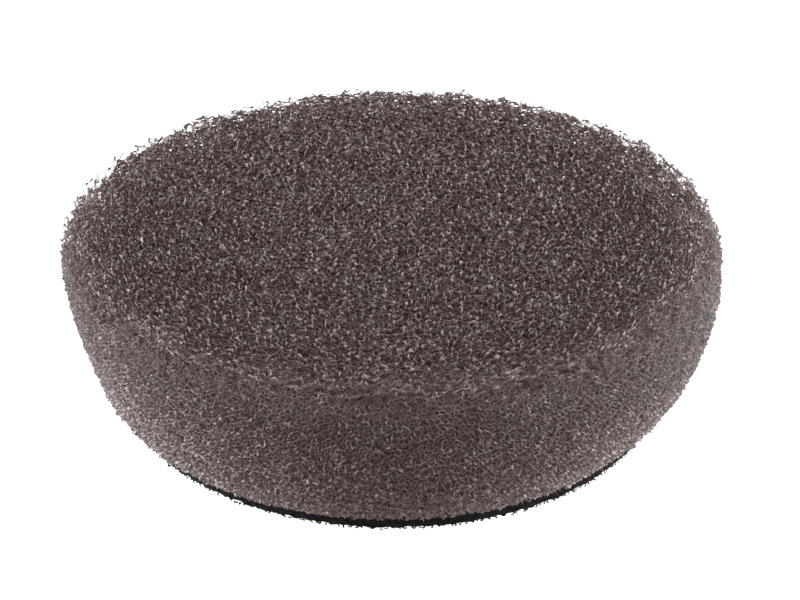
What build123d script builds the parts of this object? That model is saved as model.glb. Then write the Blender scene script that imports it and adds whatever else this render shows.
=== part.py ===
"""Polishing pad: an open-cell foam pad on a hook-and-loop backing.

Millimetres, +Z up.  The origin is the centre of the loop face, which presses
onto the hook-faced plate of a polishing machine.  +Z is the pad's axis of
symmetry and points to its flat working face.

From the origin upwards the pad is four bonded layers:
    loop_pile      brushed nylon loops
    backing_cloth  knitted ground cloth that the loops grow from
    adhesive_film  hot-melt film that bonds the cloth to the foam
    foam_body      reticulated polyurethane foam, cut wider towards its face
"""

import os

from build123d import *

# Driving dimensions of the foam
face_diameter = 90.0  # the flat working face, corner to corner
total_height = 25.0  # loop face to working face
side_bulge = 3.2  # how far the convex side stands out from its own chord
face_corner_radius = 0.8  # the soft corner between side and working face

# Driving dimensions of the backing, die-cut flush with the foam's foot
backing_diameter = 75.0  # the standard size of the plate it presses onto
pile_height = 1.2
cloth_thickness = 0.4
film_thickness = 0.2

# Levels, each layer standing on the one below it
cloth_bottom = pile_height
film_bottom = cloth_bottom + cloth_thickness
foam_bottom = film_bottom + film_thickness
foam_top = total_height

face_radius = face_diameter / 2
backing_radius = backing_diameter / 2

os.makedirs("parts", exist_ok=True)


# The foam: a flat foot, one convex arc up to the wider face, and a flat face
foot_edge = Vector(backing_radius, foam_bottom)
face_edge = Vector(face_radius, foam_top)
chord = face_edge - foot_edge
outward = Vector(chord.Y, -chord.X).normalized()
side_middle = (foot_edge + face_edge) / 2 + outward * side_bulge

with BuildPart() as foam_body:
    with BuildSketch(Plane.XZ):
        with BuildLine():
            Line((0, foam_top), (0, foam_bottom))
            Line((0, foam_bottom), foot_edge)
            ThreePointArc(foot_edge, side_middle, face_edge)
            Line(face_edge, (0, foam_top))
        make_face()
    revolve(axis=Axis.Z)
    face_corner = foam_body.edges().filter_by(GeomType.CIRCLE).group_by(Axis.Z)[-1]
    fillet(face_corner, radius=face_corner_radius)
foam_body.part.label = "foam_body"
export_step(foam_body.part, "parts/foam_body.step")


# The hot-melt film, melted into both the foam's foot and the cloth
with BuildPart() as adhesive_film:
    with BuildSketch(Plane.XY.offset(film_bottom)):
        Circle(backing_radius)
    extrude(amount=film_thickness)
adhesive_film.part.label = "adhesive_film"
export_step(adhesive_film.part, "parts/adhesive_film.step")


# The knitted ground cloth
with BuildPart() as backing_cloth:
    with BuildSketch(Plane.XY.offset(cloth_bottom)):
        Circle(backing_radius)
    extrude(amount=cloth_thickness)
backing_cloth.part.label = "backing_cloth"
export_step(backing_cloth.part, "parts/backing_cloth.step")


# The loop pile, as the plain disc of space that its loops fill
with BuildPart() as loop_pile:
    with BuildSketch(Plane.XY):
        Circle(backing_radius)
    extrude(amount=pile_height)
loop_pile.part.label = "loop_pile"
export_step(loop_pile.part, "parts/loop_pile.step")
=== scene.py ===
"""Polishing pad: reticulated foam on a loop-fabric backing, built round the CAD frame.

The foam is modelled as what it is, a net of thin struts.  Three nets of
irregular cells lie one under another, each a mesh of ridged struts with spiked
knots, over a rough heart, whose darker colour is painted shade.  Near the
corner of the working face some cells are torn away and the heart draws back,
so that light passes through the nets there, as it does through thin foam.
The nets have open edges along the foot and round the torn cells, and the
heart is closed.

Shapes are made in millimetres and scaled to the frame's metres when a mesh is
finished.
"""

import bisect
import logging
import math
import random
from dataclasses import dataclass
from enum import Enum
from typing import Any, Iterable, Sequence, Union

import bmesh
import bpy
from mathutils import Matrix, Vector

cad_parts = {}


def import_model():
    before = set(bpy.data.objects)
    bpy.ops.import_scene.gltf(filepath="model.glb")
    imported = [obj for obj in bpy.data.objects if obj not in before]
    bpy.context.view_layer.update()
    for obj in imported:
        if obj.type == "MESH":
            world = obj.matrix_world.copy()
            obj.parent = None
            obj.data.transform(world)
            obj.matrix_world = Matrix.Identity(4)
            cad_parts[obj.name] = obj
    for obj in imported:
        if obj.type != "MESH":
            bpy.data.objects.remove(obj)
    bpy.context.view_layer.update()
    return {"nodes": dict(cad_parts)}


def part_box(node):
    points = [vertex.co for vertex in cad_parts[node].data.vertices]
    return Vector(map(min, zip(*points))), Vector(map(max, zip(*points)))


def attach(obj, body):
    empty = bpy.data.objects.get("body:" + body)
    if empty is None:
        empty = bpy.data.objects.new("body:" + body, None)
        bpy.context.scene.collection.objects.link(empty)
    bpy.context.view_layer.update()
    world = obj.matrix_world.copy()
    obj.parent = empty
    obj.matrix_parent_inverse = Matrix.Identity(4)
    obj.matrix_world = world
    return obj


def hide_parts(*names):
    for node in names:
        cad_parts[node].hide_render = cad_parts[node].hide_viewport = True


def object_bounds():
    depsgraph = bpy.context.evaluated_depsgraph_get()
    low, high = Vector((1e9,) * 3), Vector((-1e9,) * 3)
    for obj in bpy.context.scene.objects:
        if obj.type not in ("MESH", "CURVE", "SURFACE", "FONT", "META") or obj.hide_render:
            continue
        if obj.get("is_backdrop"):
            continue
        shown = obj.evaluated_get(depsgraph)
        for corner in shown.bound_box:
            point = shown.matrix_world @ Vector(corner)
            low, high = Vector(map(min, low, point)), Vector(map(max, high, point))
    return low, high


LOG = logging.getLogger("polishing_pad")

MM = 0.001
GOLDEN_TURN = math.pi * (3 - math.sqrt(5))
BAKE_MAP = "OFBake"
MERGE_GAP = 1e-4
WHITE = (1.0, 1.0, 1.0)

Colour = tuple[float, float, float]
Input = Union["Signal", float, int, Sequence[float]]


class Tile(Enum):
    """Quarter of the foam's own map that each of its layers is laid on."""

    OUTER = (0.25, 0.75)
    MIDDLE = (0.75, 0.75)
    INNER = (0.25, 0.25)
    HEART = (0.75, 0.25)


# ---------------------------------------------------------------- shader maths


class Signal:
    """One output socket, on which Python's operators build Math nodes."""

    def __init__(self, graph: "Graph", socket: bpy.types.NodeSocket) -> None:
        """Wrap a socket.

        Args:
            graph: the graph that the socket belongs to.
            socket: the output socket to work on.
        """
        self.graph = graph
        self.socket = socket

    def maths(self, operation: str, *values: Input) -> "Signal":
        """Add one Math node.

        Args:
            operation: the Math node's operation.
            values: the node's inputs, in order.

        Returns:
            The node's result.
        """
        node = self.graph.add("ShaderNodeMath", {"operation": operation}, dict(enumerate(values)))
        return Signal(self.graph, node.outputs[0])

    def __add__(self, other: Input) -> "Signal":
        """Return self + other."""
        return self.maths("ADD", self, other)

    def __radd__(self, other: Input) -> "Signal":
        """Return other + self."""
        return self.maths("ADD", other, self)

    def __sub__(self, other: Input) -> "Signal":
        """Return self - other."""
        return self.maths("SUBTRACT", self, other)

    def __rsub__(self, other: Input) -> "Signal":
        """Return other - self."""
        return self.maths("SUBTRACT", other, self)

    def __mul__(self, other: Input) -> "Signal":
        """Return self * other."""
        return self.maths("MULTIPLY", self, other)

    def __rmul__(self, other: Input) -> "Signal":
        """Return other * self."""
        return self.maths("MULTIPLY", other, self)

    def clamped(self) -> "Signal":
        """Return self held between 0 and 1."""
        return self.maths("MINIMUM", self.maths("MAXIMUM", self, 0.0), 1.0)


class Graph:
    """A material's node tree, with one way to add a node."""

    grain_roughness: float = 0.55

    def __init__(self, name: str) -> None:
        """Start a material with only a Principled shader.

        Args:
            name: the material's name.
        """
        self.material = bpy.data.materials.new(name)
        self.material.use_nodes = True
        self.tree = self.material.node_tree
        self.shader = self.tree.nodes["Principled BSDF"]

    def put(self, socket: bpy.types.NodeSocket, value: Input) -> None:
        """Give a socket a value or a link.

        Args:
            socket: the input socket.
            value: a Signal to link, or the socket's own value.
        """
        if isinstance(value, Signal):
            self.tree.links.new(value.socket, socket)
        elif socket.type == "RGBA" and len(value) == 3:
            socket.default_value = (*value, 1.0)
        else:
            socket.default_value = value

    def add(self, kind: str, settings: dict[str, Any], values: dict[Any, Input]) -> bpy.types.Node:
        """Add a node.

        Args:
            kind: the node's type.
            settings: what to set on the node first.
            values: socket names or numbers, with their values or links.

        Returns:
            The new node.
        """
        node = self.tree.nodes.new(kind)
        for key, setting in settings.items():
            setattr(node, key, setting)
        for key, value in values.items():
            self.put(node.inputs[key], value)
        return node

    def signal(
        self, kind: str, settings: dict[str, Any], values: dict[Any, Input], output: Any = 0
    ) -> Signal:
        """Add a node and return one of its outputs."""
        return Signal(self, self.add(kind, settings, values).outputs[output])

    def place(self) -> Signal:
        """Return the Object coordinates."""
        return self.signal("ShaderNodeTexCoord", {}, {}, "Object")

    def attribute(self, name: str) -> Signal:
        """Return a number painted on the mesh."""
        return self.signal("ShaderNodeAttribute", {"attribute_name": name}, {}, "Fac")

    def noise(self, place: Signal, per_metre: float, detail: float = 2.0) -> Signal:
        """Return noise between 0 and 1, with so many grains to the metre."""
        values = {"Vector": place, "Scale": per_metre, "Detail": detail}
        values["Roughness"] = self.grain_roughness
        return self.signal("ShaderNodeTexNoise", {}, values, "Fac")

    def blend(self, factor: Input, first: Input, second: Input) -> Signal:
        """Return first blended into second by a factor from 0 to 1."""
        settings = {"data_type": "RGBA", "clamp_factor": True}
        return self.signal("ShaderNodeMix", settings, {0: factor, 6: first, 7: second}, 2)

    def bump(self, height: Signal, strength: float, distance: float) -> Signal:
        """Return the normal of a surface raised by a height between 0 and 1."""
        values = {"Strength": strength, "Distance": distance, "Height": height}
        return self.signal("ShaderNodeBump", {}, values)

    def surface(self, values: dict[str, Input]) -> bpy.types.Material:
        """Set the shader's own sockets.

        Args:
            values: the sockets' names, with their values or links.

        Returns:
            The material.
        """
        for key, value in values.items():
            self.put(self.shader.inputs[key], value)
        return self.material


# -------------------------------------------------------------------- finishes


@dataclass(frozen=True)
class FoamFinish:
    """Dark taupe polyurethane with a random mottle.  Painted highlight makes its knot tips
    paler, painted light makes the corner of the face paler and the two flanks paler and
    greyer, and painted shade makes it darker towards the foot.

    Deep in the foam only the walls between far cells are seen, as a fine net; the dark
    between them, like the darker deep nets and heart, is painted shade.
    """

    # pale colour of the random mottle, and of the painted highlight and painted light
    pale_and_lit: Colour = (0.285, 0.240, 0.236)
    body: Colour = (0.155, 0.096, 0.087)
    # painted shade of the foam's depths
    deep: Colour = (0.090, 0.057, 0.052)
    # painted light on the two flanks
    flank_lit: Colour = (0.350, 0.315, 0.310)
    mottle_per_metre: float = 160.0
    mottle_detail: float = 3.0
    mottle_contrast: float = 1.6
    mottle_shift: float = 0.65
    cells_per_metre: float = 1000.0
    wall: float = 9.0
    roughness: float = 0.6
    gloss: float = 0.4
    sheen: float = 0.18
    sheen_roughness: float = 0.5

    def material(self) -> bpy.types.Material:
        """Mix the foam's colour from its mottle and from the painted light and painted shade on the
        mesh.

        Returns:
            The foam's material.
        """
        graph = Graph("foam")
        place = graph.place()
        depth = graph.attribute("depth")
        # painted highlight on the knot tips, painted light near the face's corner, painted shade towards
        # the foot
        painted_light = graph.attribute("painted_light")
        # painted light on the two flanks that face the lamps
        flank_light = graph.attribute("flank_light")
        mottle = graph.noise(place, self.mottle_per_metre, self.mottle_detail)
        # random mottle plus the painted light and shade, as a share of the pale colour
        lighter = (mottle * self.mottle_contrast - self.mottle_shift + painted_light).clamped()
        skin = graph.blend(lighter, self.body, self.pale_and_lit)
        # painted shade: the far cells' hollows are dark between lighter walls
        walls = graph.signal(
            "ShaderNodeTexVoronoi",
            {"feature": "DISTANCE_TO_EDGE"},
            {"Vector": place, "Scale": self.cells_per_metre},
            "Distance",
        )
        hollow = graph.blend(walls * self.wall, self.body, self.deep)
        # painted light pales the flanks, and painted shade darkens the depths
        colour = graph.blend(depth, graph.blend(flank_light, skin, self.flank_lit), hollow)
        return graph.surface({
            "Base Color": colour,
            "Roughness": self.roughness,
            "Specular IOR Level": self.gloss,
            "Sheen Weight": self.sheen,
            "Sheen Roughness": self.sheen_roughness,
        })


@dataclass(frozen=True)
class FilmFinish:
    """Hot-melt film, dull and slightly uneven where it was pressed."""

    colour: Colour = (0.010, 0.009, 0.009)
    pressed: Colour = (0.017, 0.015, 0.015)
    presses_per_metre: float = 700.0
    press_depth: float = 0.0001
    press_strength: float = 0.4
    roughness: float = 0.45
    roughness_spread: float = 0.2
    gloss: float = 0.15

    def material(self) -> bpy.types.Material:
        """Mix the film's two blacks, and dent it a little.

        Returns:
            The film's material.
        """
        graph = Graph("film")
        uneven = graph.noise(graph.place(), self.presses_per_metre)
        return graph.surface({
            "Base Color": graph.blend(uneven, self.colour, self.pressed),
            "Roughness": uneven * self.roughness_spread + self.roughness,
            "Specular IOR Level": self.gloss,
            "Normal": graph.bump(uneven, self.press_strength, self.press_depth),
        })


@dataclass(frozen=True)
class ClothFinish:
    """Black knitted nylon: ribs of stitches about half a millimetre apart."""

    yarn: Colour = (0.012, 0.011, 0.012)
    # painted shade in the gaps between the ribs
    gap: Colour = (0.003, 0.003, 0.003)
    rib_scale: float = 1800.0 / 6.3
    rib_share: float = 0.6
    rib_wander: float = 2.0
    rib_detail: float = 1.0
    fibres_per_metre: float = 4000.0
    stitch_depth: float = 0.0002
    stitch_strength: float = 0.6
    roughness: float = 0.85
    gloss: float = 0.05

    def material(self) -> bpy.types.Material:
        """Raise ribs and fibres, with the gaps between them darker as painted shade.

        Returns:
            The ground cloth's material.
        """
        graph = Graph("cloth")
        place = graph.place()
        ribs = graph.signal(
            "ShaderNodeTexWave",
            {"wave_type": "BANDS", "bands_direction": "X", "wave_profile": "SIN"},
            {
                "Vector": place,
                "Scale": self.rib_scale,
                "Distortion": self.rib_wander,
                "Detail": self.rib_detail,
            },
            "Fac",
        )
        fibres = graph.noise(place, self.fibres_per_metre)
        height = ribs * self.rib_share + fibres * (1 - self.rib_share)
        return graph.surface({
            # painted shade: darker where the cloth is lower
            "Base Color": graph.blend(height, self.gap, self.yarn),
            "Roughness": self.roughness,
            "Specular IOR Level": self.gloss,
            "Normal": graph.bump(height, self.stitch_strength, self.stitch_depth),
        })


@dataclass(frozen=True)
class NylonFinish:
    """Black nylon thread, glossy along its curve and a little uneven in dye."""

    name: str = "nylon"
    dyed: Colour = (0.006, 0.006, 0.006)
    lighter: Colour = (0.014, 0.013, 0.013)
    roughness: float = 0.7
    gloss: float = 0.05
    dye_per_metre: float = 900.0
    roughness_spread: float = 0.2

    def material(self) -> bpy.types.Material:
        """Dye the thread a little unevenly.

        Returns:
            The loop thread's material.
        """
        graph = Graph(self.name)
        dye = graph.noise(graph.place(), self.dye_per_metre)
        return graph.surface({
            "Base Color": graph.blend(dye, self.dyed, self.lighter),
            "Roughness": dye * self.roughness_spread + self.roughness,
            "Specular IOR Level": self.gloss,
        })


@dataclass(frozen=True)
class FloorFinish:
    """Plain pale studio floor, which glows as a light table does."""

    colour: Colour = (0.15, 0.15, 0.15)
    roughness: float = 0.9
    glow: float = 1.2

    def material(self) -> bpy.types.Material:
        """Return the floor's material."""
        return Graph("floor").surface({
            "Base Color": self.colour,
            "Roughness": self.roughness,
            "Emission Color": WHITE,
            "Emission Strength": self.glow,
        })


# ----------------------------------------------------------------- the outline


@dataclass(frozen=True)
class Outline:
    """The foam's half section, in millimetres, with z up and r outwards."""

    top: float
    foot: float
    foot_radius: float
    face_radius: float = 45.0
    side_bulge: float = 3.2

    @classmethod
    def from_frame(cls) -> "Outline":
        """Read the levels and the foot's radius from the CAD boxes.

        Returns:
            The outline.
        """
        low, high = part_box("foam_body")
        cloth_low, cloth_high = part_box("backing_cloth")
        return cls(
            top=high[2] / MM,
            foot=low[2] / MM,
            foot_radius=(cloth_high[0] - cloth_low[0]) / 2 / MM,
        )

    @property
    def side_radius(self) -> float:
        """Radius of the side's convex arc."""
        chord = math.hypot(self.face_radius - self.foot_radius, self.top - self.foot)
        return (chord**2 / 4 + self.side_bulge**2) / (2 * self.side_bulge)

    @property
    def side_centre(self) -> Vector:
        """Centre of the side's convex arc.

        Returns:
            The centre, as (r, z).
        """
        foot = Vector((self.foot_radius, self.foot))
        chord = Vector((self.face_radius, self.top)) - foot
        outward = Vector((chord.y, -chord.x)).normalized()
        return foot + chord / 2 + outward * (self.side_bulge - self.side_radius)

    def arc(self, depth: float, top: float, steps: int) -> list[Vector]:
        """Walk down the side's arc, at a depth under the surface.

        Args:
            depth: how far under the side's surface the arc lies.
            top: the height to start from.
            steps: how many equal parts the arc has.

        Returns:
            Points as (r, z), from the top to the foot.
        """
        radius = self.side_radius - depth
        centre = self.side_centre
        first = math.asin((top - centre.y) / radius)
        last = math.asin((self.foot - centre.y) / radius)
        angles = [first + (last - first) * step / steps for step in range(steps + 1)]
        return [centre + radius * Vector((math.cos(a), math.sin(a))) for a in angles]


class Meridian:
    """A shell's line from the middle of the face to just under the foot.

    A place on it is named by its share of the shell's area, so that equal
    steps of share hold equally many cells.
    """

    arc_steps: int = 40
    level_gap: float = 1e-6

    def __init__(self, outline: Outline, depth: float, lip: float) -> None:
        """Lay out the line.

        Args:
            outline: the foam's outline.
            depth: how far under the surface the shell lies.
            lip: how far the shell turns in under the foot.
        """
        level = outline.top - depth
        side = outline.arc(depth, level, self.arc_steps)
        self.points = [Vector((0.0, level)), *side, side[-1] - Vector((lip, 0.0))]
        self.areas = [0.0]
        self.lengths = [0.0]
        for start, end in zip(self.points, self.points[1:]):
            length = (end - start).length
            self.areas.append(self.areas[-1] + math.pi * (start.x + end.x) * length)
            self.lengths.append(self.lengths[-1] + length)

    def at(self, share: float) -> tuple[float, float, float]:
        """Find a place on the line.

        Args:
            share: the share of the shell's area that lies before it.

        Returns:
            Its radius, its height and its distance along the line, from 0 to 1.
        """
        area = min(max(share, 0.0), 1.0) * self.areas[-1]
        index = min(max(bisect.bisect_left(self.areas, area), 1), len(self.areas) - 1)
        start, end = self.points[index - 1], self.points[index]
        part = (area - self.areas[index - 1]) / (self.areas[index] - self.areas[index - 1])
        wider = end.x - start.x
        if abs(wider) > self.level_gap:  # area grows with the square of the radius
            radius = math.sqrt(start.x**2 + part * (end.x**2 - start.x**2))
            part = (radius - start.x) / wider
        place = start.lerp(end, part)
        length = self.lengths[index - 1] + part * (end - start).length
        return place.x, place.y, length / self.lengths[-1]


# -------------------------------------------------------------------- the foam


@dataclass(frozen=True)
class Net:
    """One net of struts: how deep it lies and how it is grown."""

    tile: Tile
    depth: float
    cell: float
    # painted shade: how much darker the net is coloured for lying deeper
    depth_shade: float
    spike: float
    seed: int


@dataclass(frozen=True)
class Lobe:
    """A gentle swelling or hollow of the soft foam, in millimetres along the radius."""

    turn: float
    level: float
    reach: float
    amount: float

    def at(self, turn: float, level: float, share: float) -> float:
        """Return how far a place is moved outwards.

        Args:
            turn: the place's turn about the axis.
            level: its height, from 0 at the foot to 1 at the face.
            share: its radius as a share of the face's.

        Returns:
            The distance, which is negative inwards.
        """
        facing = max(0.0, math.cos(turn - self.turn)) ** 3
        near = max(0.0, 1 - ((level - self.level) / self.reach) ** 2)
        return self.amount * facing * near * share**3


@dataclass
class FoamPad:
    """The foam body: three nets of struts over a rough heart.

    Lengths are in millimetres.  The shares and the depths of shade run from 0
    to 1, and a net's struts shade into its depth from their tips down.
    """

    outline: Outline
    finish: FoamFinish = FoamFinish()
    strut_half_width: float = 0.047
    strut_rise: float = 0.055
    # painted shade of the struts' tops and undersides, from 0 to 1
    strut_shade: float = 0.30
    strut_under_shade: float = 0.35
    strut_merge_gap: float = 1e-5
    # painted highlight on the knot tips
    tip_highlight: float = 1.4
    tip_skew: float = 1.5
    unevenness: float = 0.14
    sway: float = 0.05
    stray: float = 0.24
    covered: float = 0.94
    widest_cell: float = 5.0
    foot_gap: float = 1e-3
    lip: float = 1.2
    map_reach: float = 0.24
    map_face_depth: float = 3.0
    map_face_margin: float = 2.0
    # painted light near the face's corner, and painted shade towards the foot
    lit_corner: float = 1.1
    foot_shade: float = 0.8
    # painted light on the two flanks that face the lamps
    flank_light_most: float = 0.75
    flank_light_narrowing: float = 1.2
    flank_light_below: float = 1.2
    still_radius: float = 1.0
    thin_corner: float = 3.0
    broken_share: float = 0.10
    fine_half_width: float = 0.036
    fine_corner: float = 2.0
    corner_share: float = 0.26
    lean: float = -0.5
    lobes: tuple[Lobe, ...] = (
        Lobe(turn=math.radians(192), level=0.5, reach=0.5, amount=-1.2),
        Lobe(turn=math.radians(52), level=1.0, reach=0.6, amount=1.8),
        Lobe(turn=math.radians(205), level=0.0, reach=0.3, amount=1.0),
    )
    heart_depth: float = 1.9
    heart_corner: float = 4.5
    heart_shoulder: float = 0.62
    heart_turns: int = 420
    heart_face_cuts: int = 40
    heart_corner_cuts: int = 8
    heart_side_steps: int = 32
    heart_roughness: float = 0.22
    heart_calm: float = 15.0
    heart_shades: tuple[float, float] = (0.8, 1.0)
    heart_seed: int = 53
    nets: tuple[Net, ...] = (
        Net(Tile.OUTER, depth=0.12, cell=0.62, depth_shade=0.1, spike=0.42, seed=11),
        Net(Tile.MIDDLE, depth=0.56, cell=0.76, depth_shade=0.1, spike=0.42, seed=23),
        Net(Tile.INNER, depth=1.30, cell=1.20, depth_shade=0.2, spike=0.50, seed=37),
    )

    def build(self) -> bpy.types.Object:
        """Build the foam as one piece, and let it stand for the CAD solid.

        Returns:
            The new piece.
        """
        shape = bmesh.new()
        for net in self.nets:
            self._add(shape, self._net(net))
        self._add(shape, self._heart())
        self._settle(shape)
        piece = finished("foam_pad", shape, self.finish.material())
        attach(piece, "root")
        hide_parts("foam_body")
        return piece

    @staticmethod
    def _add(whole: bmesh.types.BMesh, part: bmesh.types.BMesh) -> None:
        """Join a part's mesh to the whole.

        Args:
            whole: the mesh that is added to.
            part: the mesh to add, which is freed.
        """
        mesh = bpy.data.meshes.new("part")
        part.to_mesh(mesh)
        part.free()
        whole.from_mesh(mesh)
        bpy.data.meshes.remove(mesh)

    def _cells(self, meridian: Meridian, cell: float, seed: int) -> bmesh.types.BMesh:
        """Divide a shell into irregular cells, as a blade's cut through foam is.

        Cell centres are scattered evenly over a sphere, all but the part that
        the foot takes up, joined by their convex hull and carried to the shell
        by share of area.  The walls then stand half way between neighbours.

        Args:
            meridian: the shell's line.
            cell: the mean width of a cell.
            seed: picks the scatter.

        Returns:
            A mesh with one face for each cell.
        """
        rng = random.Random(seed)
        count = round(meridian.areas[-1] / (cell**2 * math.sin(math.pi / 3)))
        stray = self.stray * math.sqrt(4 * math.pi * self.covered / count)
        shell = bmesh.new()
        for index in range(count):
            lift = 1 - 2 * self.covered * (index + 0.5) / count
            ring = math.sqrt(1 - lift * lift)
            turn = GOLDEN_TURN * index
            centre = Vector((ring * math.cos(turn), ring * math.sin(turn), lift))
            centre += Vector([rng.gauss(0, stray) for _ in range(3)])
            shell.verts.new(centre.normalized())
        bmesh.ops.convex_hull(shell, input=shell.verts[:])
        for vert in shell.verts:
            turn = math.atan2(vert.co.y, vert.co.x)
            radius, height, _ = meridian.at((1 - vert.co.z) / 2 / self.covered)
            vert.co = (radius * math.cos(turn), radius * math.sin(turn), height)
        bmesh.ops.beautify_fill(shell, faces=shell.faces[:], edges=shell.edges[:], method="ANGLE")
        centres = shell.verts[:]
        spokes = shell.edges[:]
        bmesh.ops.poke(shell, faces=shell.faces[:])
        bmesh.ops.rotate_edges(shell, edges=spokes)
        bmesh.ops.dissolve_verts(shell, verts=centres)
        widest = self.widest_cell * cell**2
        under = self.outline.foot + self.foot_gap
        closing = [
            face
            for face in shell.faces
            if face.calc_area() > widest or max(v.co.z for v in face.verts) < under
        ]
        bmesh.ops.delete(shell, geom=closing, context="FACES")
        bmesh.ops.recalc_face_normals(shell, faces=shell.faces[:])
        return shell

    def _lay_on_map(self, shell: bmesh.types.BMesh, tile: Tile, span: float) -> None:
        """Lay a shell on its tile of the foam's map, as seen from above and spread out.

        Args:
            shell: the shell's mesh.
            tile: the tile it is laid on.
            span: length of the shell's meridian.
        """
        layer = shell.loops.layers.uv.new(BAKE_MAP)
        edge = self.outline.face_radius
        centre = Vector(tile.value)
        for face in shell.faces:
            for loop in face.loops:
                place = loop.vert.co
                out = place.to_2d()
                sunk = self.outline.top - place.z
                on_face = sunk < self.map_face_depth and out.length < edge - self.map_face_margin
                along = out.length if on_face else edge + sunk
                loop[layer].uv = centre + out.normalized() * self.map_reach * min(along / span, 1.0)

    def _net(self, net: Net) -> bmesh.types.BMesh:
        """Grow one net of struts.

        Every cell is inset and its middle taken out, which leaves flat strips.
        A second copy, turned over and sunk along its middle, backs them from
        below, and the knots are drawn out to points as a blade leaves them.

        Args:
            net: the net to grow.

        Returns:
            The net's mesh, with open edges along the foot and round torn cells.
        """
        rng = random.Random(net.seed + 1)
        meridian = Meridian(self.outline, net.depth, self.lip)
        shell = self._cells(meridian, net.cell, net.seed)
        inner_walls = [wall for wall in shell.edges if not wall.is_boundary]
        broken = [wall for wall in inner_walls if rng.random() < self.broken_share]
        bmesh.ops.dissolve_edges(shell, edges=broken, use_verts=False)
        self._thin_out(shell, rng)
        for vert in shell.verts:
            vert.co += vert.normal * rng.gauss(0, self.unevenness)
        self._lay_on_map(shell, net.tile, meridian.lengths[-1])
        depth = shell.verts.layers.float.new("depth")
        painted_light = shell.verts.layers.float.new("painted_light")
        flank_light = shell.verts.layers.float.new("flank_light")
        knots = [vert for vert in shell.verts if not vert.is_boundary]
        middles = shell.faces[:]
        apart = [self._from_corner(cell.calc_center_median()) for cell in middles]
        fine = [cell for cell, gap in zip(middles, apart) if gap < self.fine_corner]
        coarse = [cell for cell, gap in zip(middles, apart) if gap >= self.fine_corner]
        for cells, width in ((fine, self.fine_half_width), (coarse, self.strut_half_width)):
            bmesh.ops.inset_individual(
                shell, faces=cells, thickness=width, use_even_offset=True, use_interpolate=True
            )
        bmesh.ops.delete(shell, geom=middles, context="FACES")
        shell.normal_update()
        for vert in shell.verts:
            # painted shade: the struts are darker the deeper their net lies
            vert[depth] = net.depth_shade + self.strut_shade
            # painted light: paler near the corner of the face
            vert[painted_light] = max(0.0, 1 - self._from_corner(vert.co) / self.lit_corner)
            # painted shade: darker towards the foot
            vert[painted_light] -= self.foot_shade * max(0.0, 1 - self._level(vert.co)) ** 2
            # painted light: paler and greyer on the two flanks that face the lamps
            vert[flank_light] = self._flank_light(vert.co, net.depth)
        copy = bmesh.ops.duplicate(shell, geom=shell.verts[:] + shell.edges[:] + shell.faces[:])
        below = [item for item in copy["geom"] if isinstance(item, bmesh.types.BMFace)]
        bmesh.ops.reverse_faces(shell, faces=below)
        for knot in knots:
            under = copy["vert_map"][knot]
            outward = knot.normal.copy()
            under.co -= outward * self.strut_rise
            # painted shade: the struts' undersides are darker
            under[depth] = net.depth_shade + self.strut_under_shade
            point = rng.random() ** self.tip_skew
            sway = Vector([rng.gauss(0, self.sway) for _ in range(3)])
            knot.co += outward * (self.strut_rise + net.spike * point) + sway * point
            # painted highlight: the drawn-out tips are less shaded and paler
            knot[depth] = net.depth_shade * (1 - point)
            knot[painted_light] += self.tip_highlight * point**2
        bmesh.ops.remove_doubles(shell, verts=shell.verts[:], dist=self.strut_merge_gap)
        return shell

    def _from_corner(self, place: Vector) -> float:
        """Return how far a place is from the corner of the face."""
        return math.hypot(place.to_2d().length - self.outline.face_radius, place.z - self.outline.top)

    def _thin_out(self, shell: bmesh.types.BMesh, rng: random.Random) -> None:
        """Tear cells away near the corner of the face, the more the nearer.

        Args:
            shell: the shell's cells.
            rng: the source of chance.
        """
        torn = []
        for cell in shell.faces:
            inward = self._from_corner(cell.calc_center_median()) / self.thin_corner
            if rng.random() > self.corner_share + (1 - self.corner_share) * inward:
                torn.append(cell)
        bmesh.ops.delete(shell, geom=torn, context="FACES")

    def _level(self, place: Vector) -> float:
        """Return a place's height, from 0 at the foot to 1 at the face."""
        return (place.z - self.outline.foot) / (self.outline.top - self.outline.foot)

    def _flank_light(self, place: Vector, depth: float) -> float:
        """Return how much painted light pales a place: most on the two flanks that face the lamps, none
        on the face.

        Args:
            place: the place.
            depth: how deep its net lies.

        Returns:
            The painted light's share, from 0 to 1.
        """
        sunk = (self.outline.top - depth - place.z) / self.flank_light_below
        flank = abs(place.x) / max(place.to_2d().length, self.still_radius)
        return self.flank_light_most * flank**self.flank_light_narrowing * min(max(sunk, 0.0), 1.0)

    def _settle(self, shape: bmesh.types.BMesh) -> None:
        """Give the turned shape its lobes and its lean, as soft foam settles.

        Args:
            shape: the whole foam's mesh.
        """
        for vert in shape.verts:
            out = vert.co.to_2d()
            if out.length > self.still_radius:
                turn = math.atan2(out.y, out.x)
                share = out.length / self.outline.face_radius
                moved = sum(lobe.at(turn, self._level(vert.co), share) for lobe in self.lobes)
                vert.co.xy += out.normalized() * moved
            vert.co.x += self.lean * self._level(vert.co)

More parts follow.
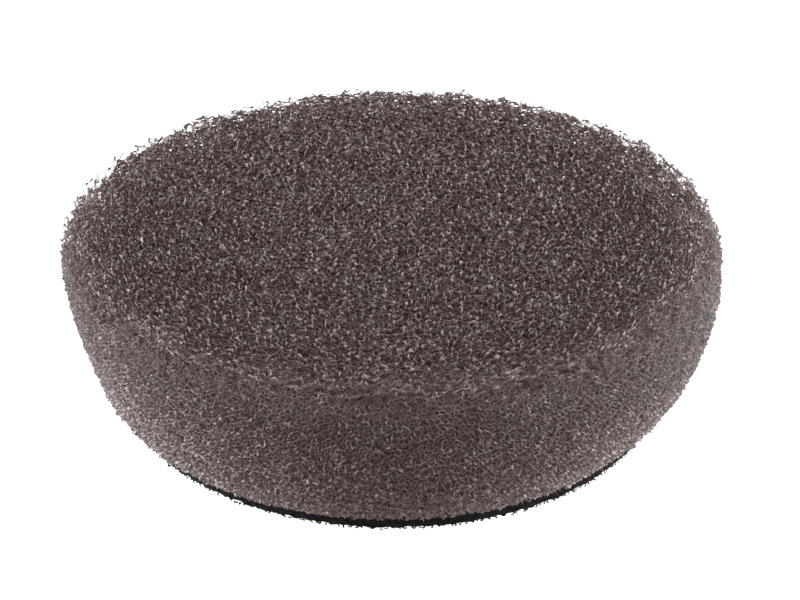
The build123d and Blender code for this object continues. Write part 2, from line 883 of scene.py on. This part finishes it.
    def _heart(self) -> bmesh.types.BMesh:
        """Turn the rough heart, drawn back from the corner of the face.

        Returns:
            The heart's closed mesh.
        """
        outline = self.outline
        top = outline.top - self.heart_depth
        shoulder = top - self.heart_corner * self.heart_shoulder
        side = outline.arc(self.heart_depth, shoulder, self.heart_side_steps)
        line = [
            Vector((0.0, top)),
            Vector((side[0].x - self.heart_corner, top)),
            *side,
            Vector((0.0, outline.foot)),
        ]
        heart = bmesh.new()
        verts = [heart.verts.new((point.x, 0.0, point.y)) for point in line]
        edges = [heart.edges.new(pair) for pair in zip(verts, verts[1:])]
        bmesh.ops.subdivide_edges(heart, edges=edges[:1], cuts=self.heart_face_cuts)
        bmesh.ops.subdivide_edges(heart, edges=edges[1:2], cuts=self.heart_corner_cuts)
        turn_round(heart, self.heart_turns)
        self._lay_on_map(heart, Tile.HEART, outline.face_radius + outline.top)
        depth = heart.verts.layers.float.new("depth")
        rng = random.Random(self.heart_seed)
        for vert in heart.verts:
            # painted shade: the heart takes the dark colour of the depths
            vert[depth] = 1.0
            if vert.co.z > outline.foot + self.heart_depth / 2:
                room = min(1.0, vert.co.to_2d().length / self.heart_calm)
                vert.co += vert.normal * rng.gauss(0, self.heart_roughness) * room
                vert[depth] = rng.uniform(*self.heart_shades)
        return heart


# ----------------------------------------------------------------- the backing


@dataclass
class LoopBacking:
    """The hook-and-loop backing: film, ground cloth and brushed loops.

    Lengths are in millimetres, leans in radians and droops in degrees.
    """

    film: FilmFinish = FilmFinish()
    cloth: ClothFinish = ClothFinish()
    nylon: NylonFinish = NylonFinish()
    bright: NylonFinish = NylonFinish(
        name="bright_nylon",
        dyed=(0.012, 0.012, 0.013),
        lighter=(0.026, 0.026, 0.028),
        roughness=0.35,
        gloss=0.5,
    )
    loop_pitch: float = 1.05
    thread_radius: float = 0.07
    thread_sides: int = 3
    loop_steps: int = 6
    loop_half_width: float = 0.26
    loop_height: float = 0.62
    loop_root: float = 0.22
    loop_lean: float = 0.35
    loop_widths: tuple[float, float] = (0.7, 1.3)
    loop_heights: tuple[float, float] = (0.7, 1.0)
    mat_bottom: float = 0.42
    mat_rings: int = 46
    mat_edge_cuts: int = 3
    mat_turns: int = 420
    mat_roughness: float = 0.13
    mat_calm: float = 12.0
    rim_inset: float = 0.1
    rim_rows: int = 2
    rim_pitch: float = 0.80
    rim_stray: float = 0.1
    rim_droops: tuple[float, float] = (70, 115)
    rim_widths: tuple[float, float] = (0.6, 1.1)
    rim_thickness: float = 2.0
    rim_shortest: float = 0.17
    rim_growth: float = 0.4
    seed: int = 5

    def build(self, nodes: dict[str, bpy.types.Object]) -> list[bpy.types.Object]:
        """Finish the CAD film and cloth, and grow the loops.

        Args:
            nodes: the frame's CAD objects by name.

        Returns:
            The new pieces.
        """
        dress(nodes["adhesive_film"], self.film.material())
        dress(nodes["backing_cloth"], self.cloth.material())
        return [self._mat(), self._face_loops(), self._rim_loops()]

    def _radius(self) -> float:
        """Return the backing's radius."""
        low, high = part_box("loop_pile")
        return (high[0] - low[0]) / 2 / MM

    def _ceiling(self) -> float:
        """Return the height of the ground cloth that the loops hang from."""
        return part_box("loop_pile")[1][2] / MM

    def _loop_mesh(self) -> bpy.types.Mesh:
        """Bend one loop of thread, its ends at the origin and its crown along +Z.

        Returns:
            The loop's mesh.
        """
        loop = bmesh.new()
        aside = Matrix.Translation((self.loop_half_width, 0, 0))
        ring = bmesh.ops.create_circle(
            loop, segments=self.thread_sides, radius=self.thread_radius, matrix=aside
        )
        bmesh.ops.spin(
            loop,
            geom=ring["verts"] + loop.edges[:],
            cent=(0, 0, 0),
            axis=(0, 1, 0),
            angle=-math.pi,
            steps=self.loop_steps,
        )
        bmesh.ops.holes_fill(loop, edges=loop.edges[:], sides=self.thread_sides)
        bmesh.ops.recalc_face_normals(loop, faces=loop.faces[:])
        crown = Matrix.Diagonal((1, 1, self.loop_height / self.loop_half_width, 1))
        bmesh.ops.transform(loop, matrix=crown, verts=loop.verts[:])
        mesh = bpy.data.meshes.new("loop")
        loop.to_mesh(mesh)
        loop.free()
        return mesh

    def _sew(self, name: str, places: Iterable[Matrix], thread: NylonFinish) -> bpy.types.Object:
        """Sew a loop at every place, and join them to one piece.

        Args:
            name: the piece's name.
            places: where each loop stands, and how it is turned and stretched.
            thread: the thread's finish.

        Returns:
            The new piece.
        """
        pattern = self._loop_mesh()
        whole = bmesh.new()
        for place in places:
            loop = pattern.copy()
            loop.transform(place)
            whole.from_mesh(loop)
            bpy.data.meshes.remove(loop)
        bpy.data.meshes.remove(pattern)
        for vert in whole.verts:
            vert.co.z = max(vert.co.z, 0.0)
        return self._belong(finished(name, whole, thread.material()))

    @staticmethod
    def _belong(piece: bpy.types.Object) -> bpy.types.Object:
        """Let a piece ride on the pad and stand for the CAD pile.

        Args:
            piece: the piece.

        Returns:
            The same piece.
        """
        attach(piece, "root")
        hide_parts("loop_pile")
        return piece

    def _mat(self) -> bpy.types.Object:
        """Turn the dense felt of crushed loops that the open ones stand on.

        Returns:
            The new piece.
        """
        radius, ceiling = self._radius(), self._ceiling()
        mat = bmesh.new()
        corners = ((0, ceiling), (radius, ceiling), (radius, self.mat_bottom), (0, self.mat_bottom))
        verts = [mat.verts.new((x, 0, z)) for x, z in corners]
        edges = [mat.edges.new(pair) for pair in zip(verts, verts[1:])]
        bmesh.ops.subdivide_edges(mat, edges=[edges[2]], cuts=self.mat_rings)
        bmesh.ops.subdivide_edges(mat, edges=[edges[1]], cuts=self.mat_edge_cuts)
        turn_round(mat, self.mat_turns)
        rng = random.Random(self.seed)
        for vert in mat.verts:
            if vert.co.z < ceiling - MERGE_GAP:
                room = min(1.0, vert.co.to_2d().length / self.mat_calm)
                vert.co += vert.normal * rng.uniform(-1, 1) * self.mat_roughness * room
        return self._belong(finished("loop_mat", mat, self.nylon.material()))

    def _face_loops(self) -> bpy.types.Object:
        """Sew the open loops that catch the plate's hooks, over the whole foot.

        Returns:
            The new piece.
        """
        rng = random.Random(self.seed + 1)
        radius = self._radius() - self.loop_half_width
        root = self.mat_bottom + self.loop_root
        count = int(math.pi * radius**2 / self.loop_pitch**2)
        places = []
        for index in range(count):
            out = radius * math.sqrt((index + rng.random()) / count)
            turn = GOLDEN_TURN * index
            stand = Matrix.Translation((out * math.cos(turn), out * math.sin(turn), root))
            lean = Matrix.Rotation(math.pi + rng.gauss(0, self.loop_lean), 4, "X")
            spin = Matrix.Rotation(rng.uniform(0, math.tau), 4, "Z")
            wide = rng.uniform(*self.loop_widths)
            high = rng.uniform(*self.loop_heights)
            places.append(stand @ spin @ lean @ Matrix.Diagonal((wide, 1, high, 1)))
        return self._sew("face_loops", places, self.bright)

    def _rim_loops(self) -> bpy.types.Object:
        """Sew the stray loops that stand out round the backing's cut edge.

        Returns:
            The new piece.
        """
        rng = random.Random(self.seed + 2)
        radius, ceiling = self._radius() - self.rim_inset, self._ceiling()
        per_row = int(math.tau * radius / self.rim_pitch)
        places = []
        for row in range(self.rim_rows):
            height = ceiling * (row + 0.5) / self.rim_rows
            for index in range(per_row):
                turn = math.tau * (index + rng.random()) / per_row
                stand = Matrix.Translation((0, 0, height + rng.uniform(-self.rim_stray, self.rim_stray)))
                face = Matrix.Rotation(turn, 4, "Z") @ Matrix.Translation((radius, 0, 0))
                droop = Matrix.Rotation(math.radians(rng.uniform(*self.rim_droops)), 4, "Y")
                spin = Matrix.Rotation(rng.uniform(0, math.tau), 4, "Z")
                wide = rng.uniform(*self.rim_widths)
                high = self.rim_shortest + self.rim_growth * rng.random() ** 3
                stretch = Matrix.Diagonal((wide, self.rim_thickness, high, 1))
                places.append(stand @ face @ droop @ spin @ stretch)
        return self._sew("rim_loops", places, self.nylon)


# ------------------------------------------------------------------ the studio


@dataclass
class Studio:
    """Floor, soft lights and the camera, in metres, degrees and watts."""

    elevation: float = 29.52
    distance: float = 0.3587
    lens: float = 114.84
    roll: float = 0.38
    shift: tuple[float, float] = (0.0105, 0.0057)
    sensor: float = 36.0
    floor_size: float = 6.0
    sky: float = 0.80
    backdrop: float = 1.05
    lamp_size: tuple[float, float] = (0.50, 0.13)
    lamp_aside: float = 0.55
    lamp_behind: float = 0.10
    lamp_height: float = 0.065
    left_watts: float = 8.6
    right_watts: float = 6.8

    def build(self) -> None:
        """Set the whole studio round the pad."""
        self._floor()
        self._camera()
        self._world()
        self._lamp("left", -self.lamp_aside, self.left_watts)
        self._lamp("right", self.lamp_aside, self.right_watts)
        bpy.context.scene.view_settings.view_transform = "Standard"

    def _floor(self) -> None:
        """Lay the pale floor under the pad."""
        shape = bmesh.new()
        bmesh.ops.create_grid(shape, x_segments=1, y_segments=1, size=self.floor_size / 2 / MM)
        floor = finished("floor", shape, FloorFinish().material())
        floor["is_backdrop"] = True

    def _camera(self) -> None:
        """Stand the camera in front of the pad, looking down at its middle."""
        low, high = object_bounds()
        target = Vector((0.0, 0.0, (low[2] + high[2]) / 2))
        tilt = math.radians(self.elevation)
        data = bpy.data.cameras.new("camera")
        data.lens = self.lens
        data.sensor_width = self.sensor
        data.shift_x, data.shift_y = self.shift
        camera = bpy.data.objects.new("camera", data)
        bpy.context.collection.objects.link(camera)
        camera.location = target + Vector((0, -math.cos(tilt), math.sin(tilt))) * self.distance
        facing = (target - camera.location).to_track_quat("-Z", "Y").to_matrix()
        camera.rotation_euler = (facing @ Matrix.Rotation(math.radians(self.roll), 3, "Z")).to_euler()
        bpy.context.scene.camera = camera

    def _world(self) -> None:
        """Surround the pad with even white light."""
        world = bpy.data.worlds.new("studio")
        world.use_nodes = True
        tree = world.node_tree
        background = tree.nodes["Background"]
        background.inputs["Color"].default_value = (*WHITE, 1.0)
        seen = tree.nodes.new("ShaderNodeLightPath")
        strength = tree.nodes.new("ShaderNodeMapRange")
        strength.inputs["To Min"].default_value = self.sky
        strength.inputs["To Max"].default_value = self.backdrop
        tree.links.new(seen.outputs["Is Camera Ray"], strength.inputs["Value"])
        tree.links.new(strength.outputs["Result"], background.inputs["Strength"])
        bpy.context.scene.world = world

    def _lamp(self, name: str, aside: float, watts: float) -> None:
        """Hang one soft lamp, facing the pad.

        Args:
            name: the lamp's name.
            aside: how far to the right of the pad it hangs, in metres.
            watts: its power.
        """
        data = bpy.data.lights.new(name, "AREA")
        data.shape = "RECTANGLE"
        data.size, data.size_y = self.lamp_size
        data.energy = watts
        lamp = bpy.data.objects.new(name, data)
        bpy.context.collection.objects.link(lamp)
        lamp.visible_camera = False
        lamp.location = (aside, self.lamp_behind, self.lamp_height)
        lamp.rotation_euler = (-lamp.location).to_track_quat("-Z", "Y").to_euler()


# --------------------------------------------------------------------- helpers


def turn_round(shape: bmesh.types.BMesh, steps: int) -> None:
    """Turn a half section about the Z axis into a closed shape that faces outwards.

    Args:
        shape: the mesh that holds the half section.
        steps: how many parts the turn has.
    """
    bmesh.ops.spin(
        shape,
        geom=shape.verts[:] + shape.edges[:],
        cent=(0, 0, 0),
        axis=(0, 0, 1),
        angle=math.tau,
        steps=steps,
        use_merge=True,
    )
    bmesh.ops.remove_doubles(shape, verts=shape.verts[:], dist=MERGE_GAP)
    bmesh.ops.recalc_face_normals(shape, faces=shape.faces[:])
    shape.normal_update()


def finished(name: str, shape: bmesh.types.BMesh, material: bpy.types.Material) -> bpy.types.Object:
    """Turn a mesh in millimetres into an object in the frame's metres.

    Args:
        name: the object's name.
        shape: the mesh, which is freed.
        material: its material.

    Returns:
        The new object, at the origin.
    """
    bmesh.ops.scale(shape, vec=(MM, MM, MM), verts=shape.verts[:])
    mesh = bpy.data.meshes.new(name)
    shape.to_mesh(mesh)
    shape.free()
    mesh.materials.append(material)
    piece = bpy.data.objects.new(name, mesh)
    bpy.context.collection.objects.link(piece)
    LOG.info("%s: %d faces", name, len(mesh.polygons))
    return piece


def dress(node: bpy.types.Object, material: bpy.types.Material) -> None:
    """Give a CAD node its finish.

    Args:
        node: the node's object.
        material: its material.
    """
    for slot in node.material_slots:
        slot.material = material
    LOG.info("%s: finished", node.name)


def main() -> None:
    """Build the pad and its studio round the CAD frame."""
    logging.basicConfig(level=logging.INFO, format="%(name)s: %(message)s")
    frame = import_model()
    Studio().build()
    FoamPad(Outline.from_frame()).build()
    LoopBacking().build(frame["nodes"])


if __name__ == "__main__":
    main()
